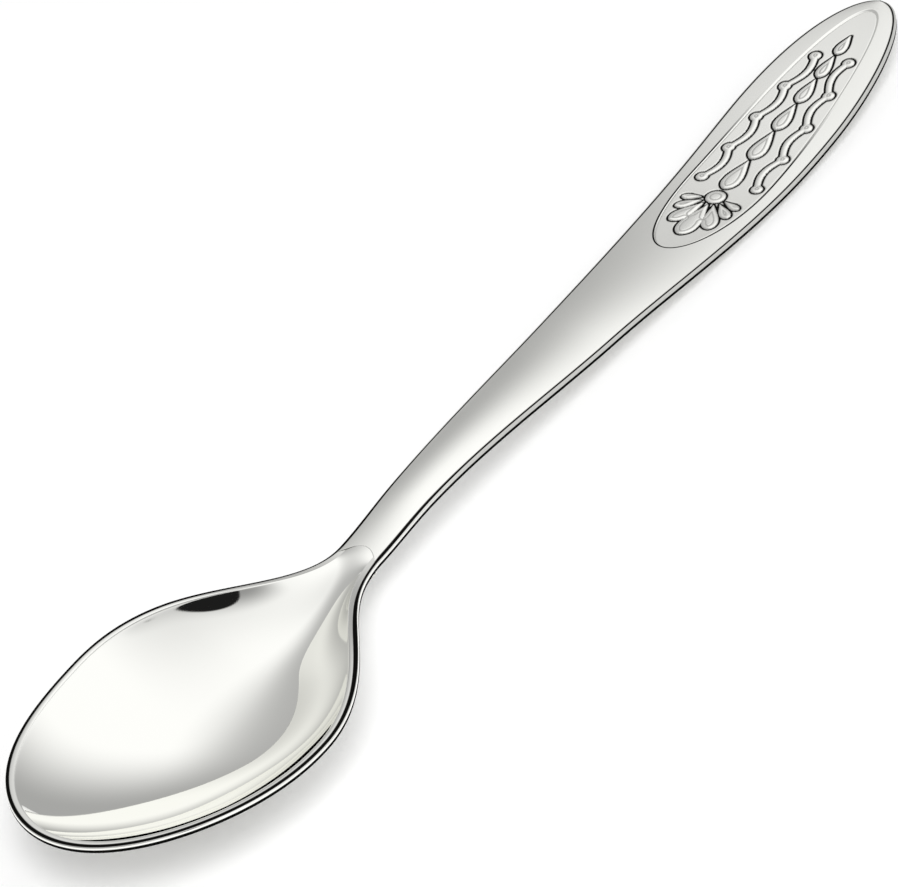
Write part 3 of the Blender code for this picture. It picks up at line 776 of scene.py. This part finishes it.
def add_node(tree, kind, settings=None, **links):
    """Add a node with its settings and its inputs, each named for its socket with _ for each space.

    A socket that shares its name with others is given as _ and its number. An input that is a socket is
    linked, and any other is set as the socket's value.
    """
    node = tree.nodes.new(kind)
    for name, value in (settings or {}).items():
        setattr(node, name, value)
    for name, value in links.items():
        key = int(name[1:]) if name[0] == "_" else name.replace("_", " ")
        if isinstance(value, bpy.types.NodeSocket):
            tree.links.new(value, node.inputs[key])
        else:
            node.inputs[key].default_value = value
    return node


def make_metal(name, colour, roughness, hairline, mottle_mm):
    """Polished metal of one colour, with hairlines, soft mottle, and a dark layer where the attribute says.

    The hairlines are noise drawn out along the spoon; hairline is their bump strength. The dark layer is
    patina in the engraved lines and painted shade along the edges, so it takes away the metal's colour and
    its gloss. The specular level acts on that layer alone.
    """
    material = bpy.data.materials.new(name)
    material.use_nodes = True
    tree = material.node_tree
    tree.nodes.clear()
    place = add_node(tree, "ShaderNodeTexCoord").outputs["Object"]
    drawn = add_node(tree, "ShaderNodeMapping", Vector=place, Scale=(HAIRLINE_DRAW, 1.0, 1.0)).outputs[0]
    lines = add_node(tree, "ShaderNodeTexNoise", Vector=drawn, Scale=1 / HAIRLINE,
                     Detail=HAIRLINE_DETAIL).outputs["Fac"]
    mottle = add_node(tree, "ShaderNodeTexNoise", Vector=place, Scale=1 / (mottle_mm * MM),
                      Detail=MOTTLE_DETAIL).outputs["Fac"]
    patina_and_painted_shade = add_node(tree, "ShaderNodeAttribute", {"attribute_name": "patina_and_painted_shade"}).outputs["Fac"]
    clean = add_node(tree, "ShaderNodeMath", {"operation": "SUBTRACT"}, _0=1.0, _1=patina_and_painted_shade).outputs[0]
    mixed = add_node(tree, "ShaderNodeMix", {"data_type": "RGBA"}, Factor=patina_and_painted_shade, _6=linear(colour),
                     _7=linear(PATINA_AND_SHADE_COLOUR)).outputs[2]
    polish = add_node(tree, "ShaderNodeMapRange", Value=mottle, _1=MOTTLE_LOW, _2=MOTTLE_HIGH,
                      _3=roughness * (1 - MOTTLE_SHARE), _4=roughness * (1 + MOTTLE_SHARE)).outputs[0]
    rough = add_node(tree, "ShaderNodeMix", {"data_type": "FLOAT"}, Factor=patina_and_painted_shade, _2=polish,
                     _3=PATINA_AND_SHADE_ROUGHNESS).outputs[0]
    scratches = add_node(tree, "ShaderNodeBump", Strength=hairline, Distance=HAIRLINE_DEPTH,
                         Height=lines).outputs[0]
    shader = add_node(tree, "ShaderNodeBsdfPrincipled", Base_Color=mixed, Metallic=clean, Roughness=rough,
                      Specular_IOR_Level=0.0, Normal=scratches)
    add_node(tree, "ShaderNodeOutputMaterial", Surface=shader.outputs[0])
    return material


def dress(piece, material, node):
    """Give a piece its finish and let it stand for its CAD node on the spoon's one body."""
    piece.data.materials.append(material)
    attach(piece, "root")
    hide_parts(node)


def make_floor():
    """Plain matt white table, seen as pure white but for the spoon's soft shadow.

    The glow is there for camera and glossy rays only, so it puts no light on the spoon.
    """
    x = np.array([-1, 1, 1, -1]) * FLOOR / 2
    y = np.array([-1, -1, 1, 1]) * FLOOR / 2
    mesh = bpy.data.meshes.new("floor")
    mesh.from_pydata(np.stack([x, y, 0 * x], axis=-1).tolist(), [], [(0, 1, 2, 3)])
    floor = bpy.data.objects.new("floor", mesh)
    bpy.context.scene.collection.objects.link(floor)
    material = bpy.data.materials.new("white_table")
    material.use_nodes = True
    tree = material.node_tree
    tree.nodes.clear()
    matt = add_node(tree, "ShaderNodeBsdfDiffuse", Color=linear(FLOOR_COLOUR)).outputs[0]
    path = add_node(tree, "ShaderNodeLightPath").outputs
    seen = add_node(tree, "ShaderNodeMath", {"operation": "MAXIMUM"}, _0=path["Is Camera Ray"],
                    _1=path["Is Glossy Ray"]).outputs[0]
    glow = add_node(tree, "ShaderNodeMath", {"operation": "MULTIPLY"}, _0=seen, _1=FLOOR_GLOW).outputs[0]
    lit = add_node(tree, "ShaderNodeEmission", Strength=glow).outputs[0]
    both = add_node(tree, "ShaderNodeAddShader", _0=matt, _1=lit).outputs[0]
    add_node(tree, "ShaderNodeOutputMaterial", Surface=both)
    mesh.materials.append(material)


def direction(azimuth, elevation):
    """Unit vector from the spoon, by azimuth from the camera (0) to its right (90), and elevation."""
    azimuth = np.radians(azimuth) + CAMERA_AZIMUTH
    elevation = np.radians(elevation)
    return (float(np.sin(azimuth) * np.cos(elevation)), float(-np.cos(azimuth) * np.cos(elevation)),
            float(np.sin(elevation)))


def make_world():
    """Light tent: white overhead, soft grey places low round the spoon, and a dark slot beside the camera.

    A place fades by the cosine of the angle from its middle. A slot is an ellipse of directions: the
    hypotenuse of two sines, each over that of its half angle, up to 1.
    """
    world = bpy.data.worlds.new("light_tent")
    bpy.context.scene.world = world
    world.use_nodes = True
    tree = world.node_tree
    tree.nodes.clear()
    toward = add_node(tree, "ShaderNodeTexCoord").outputs["Generated"]

    def facing(azimuth, elevation, inner, outer):
        """1 within the inner angle of a direction, 0 past the outer angle, smooth between."""
        dot = add_node(tree, "ShaderNodeVectorMath", {"operation": "DOT_PRODUCT"}, _0=toward,
                       _1=direction(azimuth, elevation)).outputs["Value"]
        return add_node(tree, "ShaderNodeMapRange", {"interpolation_type": "SMOOTHSTEP"}, Value=dot,
                        _1=float(np.cos(np.radians(outer))), _2=float(np.cos(np.radians(inner))),
                        _3=0.0, _4=1.0).outputs[0]

    def along(axis):
        """Share of the direction along an axis."""
        return add_node(tree, "ShaderNodeVectorMath", {"operation": "DOT_PRODUCT"}, _0=toward,
                        _1=axis.tolist()).outputs["Value"]

    def slot(azimuth, elevation, across, high, lean, soft):
        """1 inside an ellipse of directions, 0 outside it, and 0 behind the spoon."""
        ahead = np.array(direction(azimuth, elevation))
        aside = np.array(direction(azimuth + 90.0, 0.0))
        above = np.cross(ahead, aside)
        across, high, lean = np.radians([across, high, lean])
        across_axis = (np.cos(lean) * aside + np.sin(lean) * above) / np.sin(across)
        high_axis = (np.cos(lean) * above - np.sin(lean) * aside) / np.sin(high)
        place = add_node(tree, "ShaderNodeCombineXYZ", X=along(across_axis), Y=along(high_axis)).outputs[0]
        reach = add_node(tree, "ShaderNodeVectorMath", {"operation": "LENGTH"}, _0=place).outputs["Value"]
        inside = add_node(tree, "ShaderNodeMapRange", {"interpolation_type": "SMOOTHSTEP"}, Value=reach,
                          _1=1.0 - soft, _2=1.0 + soft / 2, _3=1.0, _4=0.0).outputs[0]
        before = add_node(tree, "ShaderNodeMath", {"operation": "GREATER_THAN"}, _0=along(ahead),
                          _1=0.0).outputs[0]
        return add_node(tree, "ShaderNodeMath", {"operation": "MULTIPLY"}, _0=inside, _1=before).outputs[0]

    shares = [(facing(*place), level) for *place, level in TENT_PLACES]
    shares += [(slot(*place), level) for *place, level in TENT_SLOTS]
    light = TENT_WHITE
    for share, level in shares:
        light = add_node(tree, "ShaderNodeMix", {"data_type": "FLOAT"}, Factor=share, _2=light,
                         _3=level).outputs[0]
    shell = add_node(tree, "ShaderNodeBackground", Color=(1.0, 1.0, 1.0, 1.0), Strength=light).outputs[0]
    add_node(tree, "ShaderNodeOutputWorld", Surface=shell)


def make_key_light():
    """Soft lamp above the camera, which throws a short soft shadow under the spoon."""
    lamp = bpy.data.lights.new("key", "AREA")
    lamp.shape = "DISK"
    lamp.size = KEY_SIZE
    lamp.energy = KEY_POWER
    key = bpy.data.objects.new("key", lamp)
    toward = np.array(direction(*KEY_FROM))
    key.location = tuple(toward * KEY_DISTANCE)
    key.rotation_euler = Vector(toward).to_track_quat("Z", "Y").to_euler()
    key.visible_glossy = False
    bpy.context.scene.collection.objects.link(key)


def make_camera():
    """Camera at the photograph's viewing angle: turned by the roll, and moved aside to frame the spoon."""
    back = np.array(direction(0.0, np.degrees(CAMERA_ELEVATION)))
    right = np.array([np.cos(CAMERA_AZIMUTH), np.sin(CAMERA_AZIMUTH), 0.0])
    up = np.cross(back, right)
    turned_right = np.cos(CAMERA_ROLL) * right - np.sin(CAMERA_ROLL) * up
    turned_up = np.sin(CAMERA_ROLL) * right + np.cos(CAMERA_ROLL) * up
    aside = (PHOTO_WIDTH / 2 - ORIGIN_PIXEL[0]) / PIXELS_PER_METRE
    above = (ORIGIN_PIXEL[1] - PHOTO_HEIGHT / 2) / PIXELS_PER_METRE
    place = back * CAMERA_DISTANCE + turned_right * aside + turned_up * above
    camera = bpy.data.cameras.new("photo_camera")
    camera.sensor_fit = "HORIZONTAL"
    camera.sensor_width = SENSOR
    camera.lens = PIXELS_PER_METRE * CAMERA_DISTANCE / PHOTO_WIDTH * SENSOR
    camera.clip_start = CAMERA_NEAR
    photo_camera = bpy.data.objects.new("photo_camera", camera)
    axes = Matrix(np.stack([turned_right, turned_up, back], axis=1).tolist()).to_4x4()
    photo_camera.matrix_world = Matrix.Translation(place.tolist()) @ axes
    bpy.context.scene.collection.objects.link(photo_camera)
    bpy.context.scene.camera = photo_camera


# Silver, buffed to a mirror: crisp reflections of the studio, with the faintest hairlines
mirror = make_metal("silver_mirror_polished", "#fafaf6", roughness=0.018, hairline=0.02, mottle_mm=9.0)
# Silver, polished to a satin with soft mops: reflections melt into broad greys, with hairlines along them
satin = make_metal("silver_satin_polished", "#fbfbf7", roughness=0.14, hairline=0.04, mottle_mm=6.0)
# Silver, struck with a die and lightly polished: a softer sheen than the handle's, black where tarnish sits
struck = make_metal("silver_struck_satin", "#fafaf6", roughness=0.20, hairline=0.04, mottle_mm=2.0)
dress(make_bowl(), mirror, "bowl")
dress(make_handle(), satin, "handle")
dress(make_panel(), struck, "ornament_panel")
make_floor()
make_world()
make_key_light()
make_camera()
bpy.context.scene.view_settings.view_transform = "Standard"
